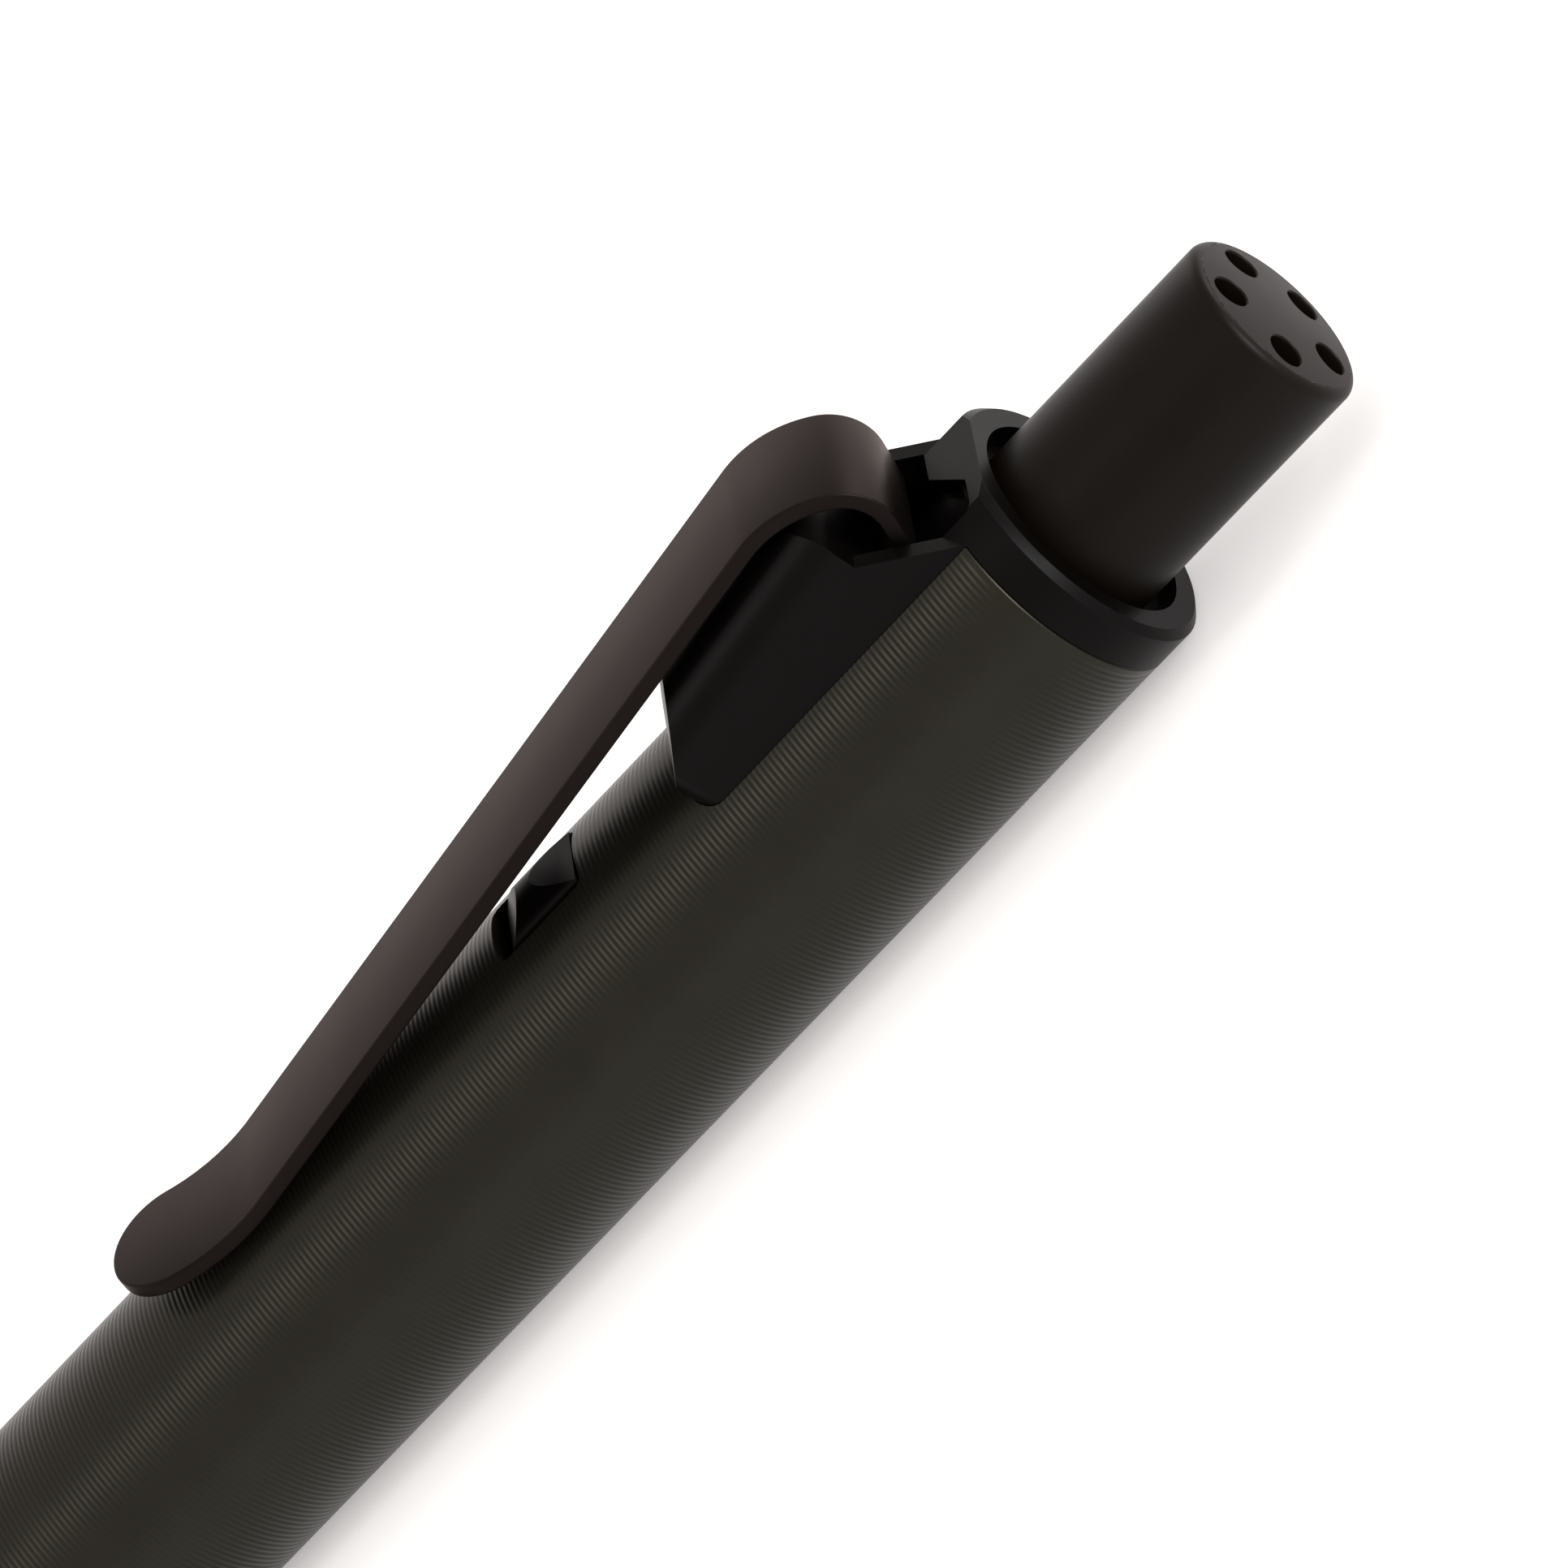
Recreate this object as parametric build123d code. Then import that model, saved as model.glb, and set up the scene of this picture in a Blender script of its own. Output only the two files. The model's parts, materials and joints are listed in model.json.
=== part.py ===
from build123d import *
from math import asin, cos, radians, sin, tan
import os

# Lead holder with a drop clutch for 2 mm leads. Millimetres.
# The holder lies along X on the surface Z = 0, point towards -X, button towards +X, clip on top (+Z).
# The origin is on that surface, half-way along the overall length and under the holder's axis.
# Every piece is modelled about the X axis and is lifted by the barrel's radius when it is saved.

# ---- Lengths along the holder, from the button to the point ----
button_reach = 10.6          # button beyond the collar, dome included
collar_length = 1.75
barrel_length = 86.1
grip_length = 26.0
nose_length = 17.0
jaw_reach = 1.4              # jaws beyond the nose with the clutch closed
lead_reach = 3.6             # lead beyond the jaws

# ---- Clearances ----
sliding_clearance = 0.07     # button in its guide
running_clearance = 0.05     # shafts, tubes and sleeves that move in a hole
thread_clearance = 0.02      # screwed and laid-in pieces
moulding_clearance = 0.03    # clip block in the barrel's slot
clip_clearance = 0.05        # clip's waist above the barrel
pocket_clearance = 0.07      # clip between the cheeks, each side

# ---- Barrel ----
barrel_radius = 5.5
barrel_wall = 0.9
barrel_end_chamfer = 0.12
slot_corner = 1.0
window_near = 19.75          # latch window, measured from the barrel's rear end
window_far = 24.3
window_corner = 0.4

# ---- Clip carrier: collar, clip block, cheeks, pocket and latch tongue ----
carrier_depth = 16.5         # sleeve of the carrier inside the barrel
carrier_wall = 0.75
collar_chamfer = 0.3
collar_mouth_gap = 0.61      # open ring round the button
collar_mouth_depth = 1.0
collar_flat_drop = 0.62      # flat under the clip, below the barrel's surface
block_length = 14.2          # from the barrel's rear end to the block's front end
block_rear = 3.0             # from the barrel's rear end to the block's rear face
block_front_rise = 0.1       # where the front bevel starts, above the barrel's surface
block_bevel_angle = 45.0
block_clip_gap = 0.45        # between the block's crown and the clip
block_edge_radius = 1.9
block_nose_radius = 1.3      # rounded rear corner inside the clip's curl
cheek_wall = 0.74
cheek_rise = 1.37            # highest point of the cheeks above the barrel's surface
cheek_rear = 0.63
pocket_floor_wall = 0.35
foot_slot_length = 4.6
foot_slot_height = 1.55
relief_reach = 1.0           # relief in the collar behind the pocket, cut askew
relief_step = 0.45           # its deep part ends here, short of the open ring round the button
relief_floor_wall = 0.16
relief_far = 1.0             # its far side starts here, across the holder
relief_middle = -0.95
relief_corner = 0.35
tongue_half_width = 1.45
tab_rise = 0.5               # crest of the tab above the barrel's surface
tab_rear_sink = 0.1
tab_front_sink = 0.4
tab_side_gap = 0.15          # to the window's sides and rear edge
tab_front_gap = 0.55         # to the window's front edge, room to snap in
tab_rear_run = 1.7           # length of the slope behind the crest
tab_front_run = 1.4
tab_root_wall = 0.3          # tongue under the tab
tab_crown_radius = 2.0       # crest is domed across, down to the barrel's surface at its sides

# ---- Pocket clip ----
clip_thickness = 0.65
clip_width = 5.1
clip_waist = 38.3            # lowest point, from the barrel's rear end
clip_waist_radius = 10.0
clip_arm_angle = 7.1
clip_flare_angle = 18.0
clip_flare_length = 2.5
clip_end_radius = 2.5
clip_top = 4.7               # highest point, from the barrel's rear end
clip_top_radius = 4.8        # gentle bend over the top
clip_top_turn = 40.0         # where it goes over into the curl, below the horizontal
clip_curl_radius = 2.3
clip_leg_angle = 114.0       # how far below the horizontal the leg heads
clip_foot_radius = 0.4
clip_foot_length = 4.0
clip_foot_lift = 0.35        # foot above the floor of its slot

# ---- Push button and what holds it ----
button_wall = 0.9
button_skirt = 6.0           # skirt inside the carrier, from the barrel's rear end
button_dome = 0.25
button_edge_radius = 0.9
button_roof = 3.4
hole_radius = 0.68
hole_depth = 1.4
hole_edge_distance = 1.34    # middle of each hole from the button's side
hole_first_angle = -16.4
hole_count = 5
core_recess = 2.0            # core's front face behind the skirt's front edge
core_stop = 1.5              # floor of the core over the tube's end
ring_section_radius = 0.35
ring_station = 3.0           # button ring, behind the barrel's rear end

# ---- Lead and collet ----
lead_radius = 1.0
lead_length = 120.0
lead_cone_length = 3.3
lead_point_radius = 0.15
jaw_length = 14.0
jaw_stem_gap = 0.15          # stem's bore round the lead
jaw_stem_wall = 0.35
jaw_head_rise = 0.75         # head over the stem
jaw_head_station = 1.2       # largest radius, from the jaws' front
jaw_head_flat = 0.25
jaw_nose_wall = 0.5
jaw_cone_angle = 12.0
jaw_grip_length = 4.0
jaw_slit = 0.5
jaw_root_gap = 0.05
jaw_count = 3
collet_wall = 0.28
collet_length = 9.0
collet_neck_length = 0.6
collet_throat_length = 3.0

# ---- Lead tube and spring ----
tube_lead_gap = 0.2
tube_wall = 0.4
spring_length = 18.0
spring_wire_radius = 0.225
spring_turns = 12
spring_tube_gap = 0.525
spring_collar_lip = 0.525    # collar beyond the spring's outside
spring_collar_length = 3.0
washer_lip = 0.725
washer_thickness = 0.6
guide_station = 45.0         # middle of the tube guide, from the barrel's rear end
guide_length = 6.0
guide_hub_wall = 0.95
guide_flute_width = 2.6
guide_flutes = 4

# ---- Grip section and nose ----
bush_length = 8.0
bush_wall = 0.7
ring_seat_length = 0.8       # room for the grip's O-ring in front of the bush
grip_step = 0.2              # plain land below the barrel's surface
grip_land_length = 9.0
grip_ring_step = 0.2         # rings below the land
grip_ring_pitch = 1.6
grip_ring_groove = 0.7
grip_ring_depth = 0.35
grip_bore_gap = 0.35         # round the spring collar
grip_front_wall = 1.0        # wall over the nose's thread
grip_front_chamfer = 0.3
nose_spigot_length = 7.0
nose_rear_step = 0.35        # nose below the grip's rings
nose_tip_wall = 0.45
nose_bore_gap = 0.12         # round the collet
nose_edge_chamfer = 0.25
closing_ring_wall = 0.35
closing_ring_length = 3.0
closing_seat_length = 1.5    # conical mouth of the closing ring

# ---- Stations along X, worked out from the lengths ----
overall = (button_reach + collar_length + barrel_length + grip_length
           + nose_length + jaw_reach + lead_reach)
x_button_end = overall / 2
x_collar_end = x_button_end - button_reach
x_barrel_end = x_collar_end - collar_length
x_barrel_front = x_barrel_end - barrel_length
x_grip_front = x_barrel_front - grip_length
x_nose_front = x_grip_front - nose_length
x_jaw_front = x_nose_front - jaw_reach
x_lead_point = x_jaw_front - lead_reach
x_jaw_root = x_jaw_front + jaw_length
x_washer = x_grip_front + nose_spigot_length
x_spring_collar = x_washer + washer_thickness + spring_length

# ---- Radii from the lead outwards ----
jaw_stem_bore = lead_radius + jaw_stem_gap
jaw_stem_radius = jaw_stem_bore + jaw_stem_wall
jaw_head_radius = jaw_stem_radius + jaw_head_rise
tube_bore = lead_radius + tube_lead_gap
tube_radius = tube_bore + tube_wall
core_bore = tube_radius + running_clearance
collet_radius = tube_radius + collet_wall
nose_bore = collet_radius + nose_bore_gap
spring_mean_radius = tube_radius + spring_tube_gap + spring_wire_radius
spring_outer_radius = spring_mean_radius + spring_wire_radius
spring_collar_radius = spring_outer_radius + spring_collar_lip
washer_radius = spring_outer_radius + washer_lip
grip_bore = spring_collar_radius + grip_bore_gap
guide_hub_radius = core_bore + guide_hub_wall
closing_cone = tan(radians(jaw_cone_angle))
closing_mouth = jaw_head_radius + running_clearance
closing_ring_radius = closing_mouth + closing_ring_wall
nose_front_radius = closing_ring_radius + nose_tip_wall

# ---- Radii and heights from the barrel inwards, above the axis ----
barrel_bore = barrel_radius - barrel_wall
carrier_radius = barrel_bore - running_clearance
carrier_bore = carrier_radius - carrier_wall
button_radius = carrier_bore - sliding_clearance
button_bore = button_radius - button_wall
hole_circle_radius = button_radius - hole_edge_distance
collar_mouth_radius = button_radius + collar_mouth_gap
collar_flat_height = barrel_radius - collar_flat_drop
block_front_height = barrel_radius + block_front_rise
cheek_height = barrel_radius + cheek_rise
pocket_floor = carrier_bore + pocket_floor_wall
relief_floor = collar_mouth_radius + relief_floor_wall
pocket_half_width = clip_width / 2 + pocket_clearance
block_half_width = pocket_half_width + cheek_wall
window_half_width = tongue_half_width + tab_side_gap
tab_root = carrier_bore + tab_root_wall
tab_height = barrel_radius + tab_rise
bush_bore = barrel_bore - bush_wall
spigot_radius = bush_bore - thread_clearance
grip_radius = barrel_radius - grip_step
grip_ring_radius = grip_radius - grip_ring_step
nose_rear_radius = grip_ring_radius - nose_rear_step
nose_thread_bore = grip_ring_radius - grip_ring_depth - grip_front_wall
nose_spigot_radius = nose_thread_bore - thread_clearance
beyond = 3 * barrel_radius   # more than far enough to cut right through


def turned(corners):
    """Solid turned about the holder's axis from its outline, a list of (x, radius)."""
    outline = Polyline([(x, 0, radius) for x, radius in corners], close=True)
    return revolve(make_face(outline), Axis.X)


def tube(front, rear, outer, inner=0.0):
    """Plain tube or rod about the holder's axis."""
    return turned([(front, inner), (front, outer), (rear, outer), (rear, inner)])


def slab(x_range, y_range, z_range):
    """Box between two values on each axis."""
    spans = (x_range, y_range, z_range)
    middle = [(low + high) / 2 for low, high in spans]
    size = [high - low for low, high in spans]
    return Pos(*middle) * Box(*size)


def side_profile(corners, half_width):
    """Prism across the holder from an outline seen from the side, a list of (x, height)."""
    outline = Polyline([(x, 0, height) for x, height in corners], close=True)
    return extrude(make_face(outline), amount=half_width, dir=(0, 1, 0), both=True)


def o_ring(station, inner_radius):
    """Rubber ring about the holder's axis."""
    section = Pos(station, 0, inner_radius + ring_section_radius) * Rot(X=90) * Circle(ring_section_radius)
    return revolve(section, Axis.X)


def save(shape, node):
    """Writes one piece in its place, lifted so that the barrel rests on Z = 0."""
    export_step(Pos(0, 0, barrel_radius) * shape, f"parts/{node}.step")


# ---- Clip's side view: offsets from the waist to the curl ----
x_waist = x_barrel_end - clip_waist
x_top = x_barrel_end - clip_top
clip_waist_top = barrel_radius + clip_clearance + clip_thickness
arm = radians(clip_arm_angle)
flare = radians(clip_flare_angle)
arm_run = (x_top - clip_top_radius * sin(arm)) - (x_waist + clip_waist_radius * sin(arm))
arm_foot_height = clip_waist_top + clip_waist_radius * (1 - cos(arm))
clip_top_height = arm_foot_height + arm_run * tan(arm) + clip_top_radius * (1 - cos(arm))


def clip_underside(x):
    """Height of the arm's lower surface above the axis."""
    run = x - x_waist - clip_waist_radius * sin(arm)
    return arm_foot_height + run * tan(arm) - clip_thickness / cos(arm)


def make_barrel():
    chamfer_step = barrel_end_chamfer
    shell = turned([
        (x_barrel_front, barrel_bore),
        (x_barrel_front, barrel_radius - chamfer_step),
        (x_barrel_front + chamfer_step, barrel_radius),
        (x_barrel_end - chamfer_step, barrel_radius),
        (x_barrel_end, barrel_radius - chamfer_step),
        (x_barrel_end, barrel_bore),
    ])
    slot_half_width = block_half_width + moulding_clearance
    slot = slab((x_barrel_end - block_length - moulding_clearance, x_barrel_end + 1),
                (-slot_half_width, slot_half_width), (0, beyond))
    slot = fillet(slot.edges().filter_by(Axis.Z).group_by(Axis.X)[0], slot_corner)
    window = slab((x_barrel_end - window_far, x_barrel_end - window_near),
                  (-window_half_width, window_half_width), (0, beyond))
    window = fillet(window.edges().filter_by(Axis.Z), window_corner)
    return shell - slot - window


def make_clip_block():
    """Block and cheeks: what stands up through the barrel's slot."""
    front = x_barrel_end - block_length
    rear = x_barrel_end - block_rear
    crown_rear = clip_underside(rear) - block_clip_gap
    bevel = tan(radians(block_bevel_angle))
    cheek_slope = (cheek_height - collar_flat_height) / (block_rear - cheek_rear)
    slope = tan(arm)
    bevel_run = (crown_rear - slope * (rear - front) - block_front_height) / (bevel - slope)
    crown_front = block_front_height + bevel_run * bevel
    block = side_profile([
        (front, 0), (front, block_front_height), (front + bevel_run, crown_front),
        (rear, crown_rear), (rear, 0),
    ], block_half_width)
    block = fillet(block.edges().filter_by(Axis.Y).group_by(Axis.Z)[-1], block_nose_radius)
    plan = slab((front, x_barrel_end), (-block_half_width, block_half_width), (0, beyond))
    block &= fillet(plan.edges().filter_by(Axis.Z).group_by(Axis.X)[0], slot_corner)
    section = Plane(origin=(rear, 0, crown_rear), x_dir=(0, 1, 0), z_dir=(cos(arm), 0, sin(arm)))
    crown = Rectangle(2 * block_half_width, beyond, align=(Align.CENTER, Align.MAX))
    crown = fillet(crown.vertices().group_by(Axis.Y)[-1], block_edge_radius)
    block &= extrude(section * crown, amount=block_length, both=True)
    cheeks = side_profile([
        (rear - 0.5, 0), (rear - 0.5, cheek_height), (rear, cheek_height),
        (x_barrel_end, cheek_height - block_rear * cheek_slope), (x_barrel_end, 0),
    ], block_half_width)
    bridge = tube(x_barrel_end - cheek_rear, x_barrel_end, barrel_radius)
    bridge &= slab((x_barrel_end - cheek_rear, x_barrel_end), (-block_half_width, block_half_width),
                   (0, collar_flat_height))
    return block + cheeks + bridge


def make_latch():
    """Tongue in the barrel's bore with the tab that snaps into the window."""
    tab_rear = x_barrel_end - window_near - tab_side_gap
    tab_front = x_barrel_end - window_far + tab_front_gap
    sleeve = tube(tab_front, x_barrel_end - carrier_depth + 0.5, carrier_radius, carrier_bore)
    tongue = sleeve & slab((tab_front, x_barrel_end), (-tongue_half_width, tongue_half_width), (0, beyond))
    tab = side_profile([
        (tab_front, tab_root), (tab_front, barrel_radius - tab_front_sink),
        (tab_front + tab_front_run, tab_height),
        (tab_rear - tab_rear_run, tab_height), (tab_rear, barrel_radius - tab_rear_sink),
        (tab_rear, tab_root),
    ], tongue_half_width)
    crown = Pos(Z=tab_height - tab_crown_radius) * tube(tab_front, tab_rear, tab_crown_radius)
    return tongue + (tab & crown)


def make_clip_carrier():
    sleeve = tube(x_barrel_end - carrier_depth, x_barrel_end, carrier_radius)
    collar = turned([
        (x_barrel_end, 0), (x_barrel_end, barrel_radius),
        (x_collar_end - collar_chamfer, barrel_radius),
        (x_collar_end, barrel_radius - collar_chamfer), (x_collar_end, 0),
    ])
    collar -= slab((x_barrel_end, x_collar_end + 1), (-beyond, beyond), (collar_flat_height, beyond))
    carrier = sleeve + collar + make_clip_block()
    carrier -= tube(x_barrel_end - carrier_depth - 1, x_collar_end + 1, carrier_bore)
    carrier -= tube(x_collar_end - collar_mouth_depth, x_collar_end + 1, collar_mouth_radius)
    x_foot_slot = x_barrel_end - block_rear - foot_slot_length
    x_relief_step = x_barrel_end + relief_step
    guide_wall = (tube(x_foot_slot - 1, x_relief_step, pocket_floor)
                  + tube(x_relief_step, x_collar_end, relief_floor))
    pocket_width = (-pocket_half_width, pocket_half_width)
    carrier -= slab((x_barrel_end - block_rear, x_barrel_end - cheek_rear), pocket_width,
                    (0, beyond)) - guide_wall
    carrier -= slab((x_foot_slot, x_barrel_end - block_rear + 0.1), pocket_width,
                    (0, pocket_floor + foot_slot_height)) - guide_wall
    relief = make_face(Polyline([
        (x_barrel_end - cheek_rear - 0.1, relief_far), (x_barrel_end - cheek_rear, relief_far),
        (x_barrel_end + relief_reach, relief_middle), (x_barrel_end + relief_reach, -pocket_half_width),
        (x_barrel_end - cheek_rear - 0.1, -pocket_half_width),
    ], close=True))
    relief = extrude(relief, amount=beyond)
    relief = fillet(relief.edges().filter_by(Axis.Z).group_by(Axis.X)[-1], relief_corner)
    return carrier - (relief - guide_wall) + make_latch()


def bent_strip(start, heading, moves, thickness):
    """Side view of a bent strip as a face: straight runs and arcs, followed along its upper side.

    Each move is ("line", length) or ("arc", radius, turn): the radius is the upper side's, and the
    turn is in degrees, positive to the left. The lower side lies to the right of the heading.
    """
    upper, lower = [], []
    point, angle = Vector(*start), heading

    def direction(degrees):
        return Vector(cos(radians(degrees)), 0, sin(radians(degrees)))

    def below(place, degrees):
        return place + direction(degrees - 90) * thickness

    for kind, *sizes in moves:
        if kind == "line":
            following = point + direction(angle) * sizes[0]
            upper.append(Line(point, following))
            lower.append(Line(below(point, angle), below(following, angle)))
            point = following
        else:
            radius, turn = sizes
            side = 90 if turn > 0 else -90
            centre = point + direction(angle + side) * radius
            stations = [angle, angle + turn / 2, angle + turn]
            rim = [centre - direction(station + side) * radius for station in stations]
            upper.append(ThreePointArc(*rim))
            lower.append(ThreePointArc(*[below(p, station) for p, station in zip(rim, stations)]))
            point, angle = rim[-1], angle + turn
    ends = [Line(upper[0] @ 0, lower[0] @ 0), Line(upper[-1] @ 1, lower[-1] @ 1)]
    return make_face(upper + lower + ends)


def make_pocket_clip():
    start = (x_waist - clip_waist_radius * sin(flare) - clip_flare_length * cos(flare), 0,
             clip_waist_top + clip_waist_radius * (1 - cos(flare)) + clip_flare_length * sin(flare))
    leg, top = radians(clip_leg_angle), radians(clip_top_turn)
    foot_outer = clip_foot_radius + clip_thickness
    curl_end_height = (clip_top_height - clip_top_radius * (1 - cos(top))
                       - clip_curl_radius * (cos(top) - cos(leg)))
    foot_height = pocket_floor + clip_foot_lift
    leg_length = (curl_end_height - foot_outer * (1 + cos(leg)) - foot_height) / sin(leg)
    side_view = bent_strip(start, -clip_flare_angle, [
        ("line", clip_flare_length),
        ("arc", clip_waist_radius, clip_flare_angle + clip_arm_angle),
        ("line", arm_run / cos(arm)),
        ("arc", clip_top_radius, -clip_arm_angle - clip_top_turn),
        ("arc", clip_curl_radius, clip_top_turn - clip_leg_angle),
        ("line", leg_length),
        ("arc", foot_outer, clip_leg_angle - 180),
        ("line", clip_foot_length),
    ], clip_thickness)
    half_width = clip_width / 2
    clip = extrude(side_view, amount=half_width, dir=(0, 1, 0), both=True)
    blank = slab((start[0], x_barrel_end), (-half_width, half_width), (0, beyond))
    blank = fillet(blank.edges().filter_by(Axis.Z).group_by(Axis.X)[0], clip_end_radius)
    return clip & blank


def make_push_button():
    front = x_barrel_end - button_skirt
    x_rim = x_button_end - button_dome
    dome_radius = (button_radius ** 2 + button_dome ** 2) / (2 * button_dome)
    half_way = asin(button_radius / dome_radius) / 2
    dome_middle = (x_button_end - dome_radius * (1 - cos(half_way)), 0, dome_radius * sin(half_way))
    outline = make_face([
        Polyline([(x_button_end, 0, 0), (front, 0, 0),
                  (front, 0, button_radius), (x_rim, 0, button_radius)]),
        ThreePointArc((x_rim, 0, button_radius), dome_middle, (x_button_end, 0, 0)),
    ])
    rim = outline.vertices().sort_by_distance((x_rim, 0, button_radius))[0]
    button = revolve(fillet(rim, button_edge_radius), Axis.X)
    button -= tube(front - 1, x_button_end - button_roof, button_bore)
    for k in range(hole_count):
        angle = radians(hole_first_angle + k * 360 / hole_count)
        y, z = hole_circle_radius * sin(angle), hole_circle_radius * cos(angle)
        button -= Pos(0, y, z) * tube(x_button_end - hole_depth, x_button_end + 1, hole_radius)
    return button


def make_button_core():
    front = x_barrel_end - button_skirt + core_recess
    rear = x_button_end - button_roof
    core = tube(front, rear, button_bore)
    core -= tube(front - 1, rear - core_stop, core_bore)
    groove_half = ring_section_radius + thread_clearance
    station = x_barrel_end + ring_station
    return core - tube(station - groove_half, station + groove_half, core_bore + 2 * groove_half)


def make_lead_tube():
    front = x_jaw_root + jaw_root_gap + collet_throat_length
    rear = x_button_end - button_roof - core_stop
    return tube(front, rear, tube_radius, tube_bore)


def make_return_spring():
    travel = spring_length - 2 * spring_wire_radius
    coil = Helix(pitch=travel / spring_turns, height=travel, radius=spring_mean_radius,
                 center=(x_washer + washer_thickness + spring_wire_radius, 0, 0), direction=(1, 0, 0))
    wire = Plane(origin=coil @ 0, z_dir=coil % 0) * Circle(spring_wire_radius)
    return sweep(wire, path=coil, is_frenet=True)


def make_tube_guide():
    front = x_barrel_end - guide_station - guide_length / 2
    guide = tube(front, front + guide_length, barrel_bore, core_bore)
    for k in range(guide_flutes):
        flute = slab((front - 1, front + guide_length + 1),
                     (-guide_flute_width / 2, guide_flute_width / 2), (guide_hub_radius, beyond))
        guide -= Rot(X=(k + 0.5) * 360 / guide_flutes) * flute
    return guide


def make_grip_section():
    spigot_rear = x_barrel_front + ring_seat_length + bush_length
    land_front = x_barrel_front - grip_land_length
    outline = [
        (spigot_rear, grip_bore), (spigot_rear, spigot_radius), (x_barrel_front, spigot_radius),
        (x_barrel_front, grip_radius), (land_front, grip_radius), (land_front, grip_ring_radius),
    ]
    ring_zone = land_front - x_grip_front - grip_ring_pitch
    rings = int(ring_zone / grip_ring_pitch)
    for k in range(rings):
        groove_rear = land_front - (k + 0.5) * grip_ring_pitch
        groove_front = groove_rear - grip_ring_groove
        outline += [(groove_rear, grip_ring_radius), (groove_rear, grip_ring_radius - grip_ring_depth),
                    (groove_front, grip_ring_radius - grip_ring_depth), (groove_front, grip_ring_radius)]
    outline += [
        (x_grip_front + grip_front_chamfer, grip_ring_radius),
        (x_grip_front, grip_ring_radius - grip_front_chamfer),
        (x_grip_front, nose_thread_bore),
        (x_grip_front + nose_spigot_length, nose_thread_bore),
        (x_grip_front + nose_spigot_length, grip_bore),
    ]
    return turned(outline)


def make_nose_cone():
    seat_rear = x_nose_front + closing_ring_length
    return turned([
        (x_grip_front + nose_spigot_length, nose_bore),
        (x_grip_front + nose_spigot_length, nose_spigot_radius),
        (x_grip_front, nose_spigot_radius), (x_grip_front, nose_rear_radius),
        (x_nose_front + nose_edge_chamfer, nose_front_radius),
        (x_nose_front, nose_front_radius - nose_edge_chamfer),
        (x_nose_front, closing_ring_radius), (seat_rear, closing_ring_radius),
        (seat_rear, nose_bore),
    ])


def make_closing_ring():
    throat = closing_mouth - closing_seat_length * closing_cone
    return turned([
        (x_nose_front, closing_mouth), (x_nose_front, closing_ring_radius),
        (x_nose_front + closing_ring_length, closing_ring_radius),
        (x_nose_front + closing_ring_length, throat), (x_nose_front + closing_seat_length, throat),
    ])


def make_collet_jaw(k):
    """One of the collet's fingers: a sector of the turned collet between two slits."""
    flat_end = jaw_head_station + jaw_head_flat
    cone_length = jaw_head_rise / closing_cone
    grip_bore_radius = lead_radius + thread_clearance
    collet = turned([
        (x_jaw_front, grip_bore_radius), (x_jaw_front, lead_radius + jaw_nose_wall),
        (x_jaw_front + jaw_head_station, jaw_head_radius), (x_jaw_front + flat_end, jaw_head_radius),
        (x_jaw_front + flat_end + cone_length, jaw_stem_radius), (x_jaw_root, jaw_stem_radius),
        (x_jaw_root, jaw_stem_bore), (x_jaw_front + jaw_grip_length, jaw_stem_bore),
        (x_jaw_front + jaw_grip_length, grip_bore_radius),
    ])
    half_angle = radians(180 / jaw_count)
    apex = jaw_slit / 2 / sin(half_angle)
    sector = Polyline([
        (x_jaw_front, 0, apex),
        (x_jaw_front, beyond * sin(half_angle), apex + beyond * cos(half_angle)),
        (x_jaw_front, -beyond * sin(half_angle), apex + beyond * cos(half_angle)),
    ], close=True)
    wedge = extrude(make_face(sector), amount=jaw_length, dir=(1, 0, 0))
    return Rot(X=k * 360 / jaw_count) * (collet & wedge)


def make_collet_body():
    front = x_jaw_root + jaw_root_gap
    neck_rear = front + collet_neck_length
    rear = front + collet_length
    throat_rear = front + collet_throat_length
    return turned([
        (front, jaw_stem_bore), (front, jaw_stem_radius), (neck_rear, jaw_stem_radius),
        (neck_rear, collet_radius), (rear, collet_radius), (rear, tube_radius),
        (throat_rear, tube_radius), (throat_rear, jaw_stem_bore),
    ])


def make_lead():
    return turned([
        (x_lead_point, 0), (x_lead_point, lead_point_radius),
        (x_lead_point + lead_cone_length, lead_radius), (x_lead_point + lead_length, lead_radius),
        (x_lead_point + lead_length, 0),
    ])


os.makedirs("parts", exist_ok=True)

# The body of the holder
save(make_barrel(), "barrel")
save(make_clip_carrier(), "clip_carrier")
save(tube(x_barrel_front + ring_seat_length, x_barrel_front + ring_seat_length + bush_length,
          barrel_bore, bush_bore), "thread_bush")
save(make_grip_section(), "grip_section")
save(o_ring(x_barrel_front + ring_seat_length / 2, spigot_radius + thread_clearance), "grip_o_ring")
save(make_nose_cone(), "nose_cone")
save(make_closing_ring(), "closing_ring")
save(tube(x_washer, x_washer + washer_thickness, washer_radius, core_bore), "spring_washer")
save(make_tube_guide(), "tube_guide")

# The clip
save(make_pocket_clip(), "pocket_clip")

# The mechanism that the button pushes
save(make_lead_tube(), "lead_tube")
save(tube(x_spring_collar, x_spring_collar + spring_collar_length, spring_collar_radius, tube_radius),
     "spring_collar")
save(make_return_spring(), "return_spring")
save(make_collet_body(), "collet_body")
for jaw in range(jaw_count):
    save(make_collet_jaw(jaw), f"collet_jaw_{jaw + 1}")

# The button, which pulls off the lead tube
save(make_push_button(), "push_button")
save(make_button_core(), "button_core")
save(o_ring(x_barrel_end + ring_station, tube_radius + thread_clearance), "button_o_ring")

# The lead
save(make_lead(), "lead")
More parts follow.
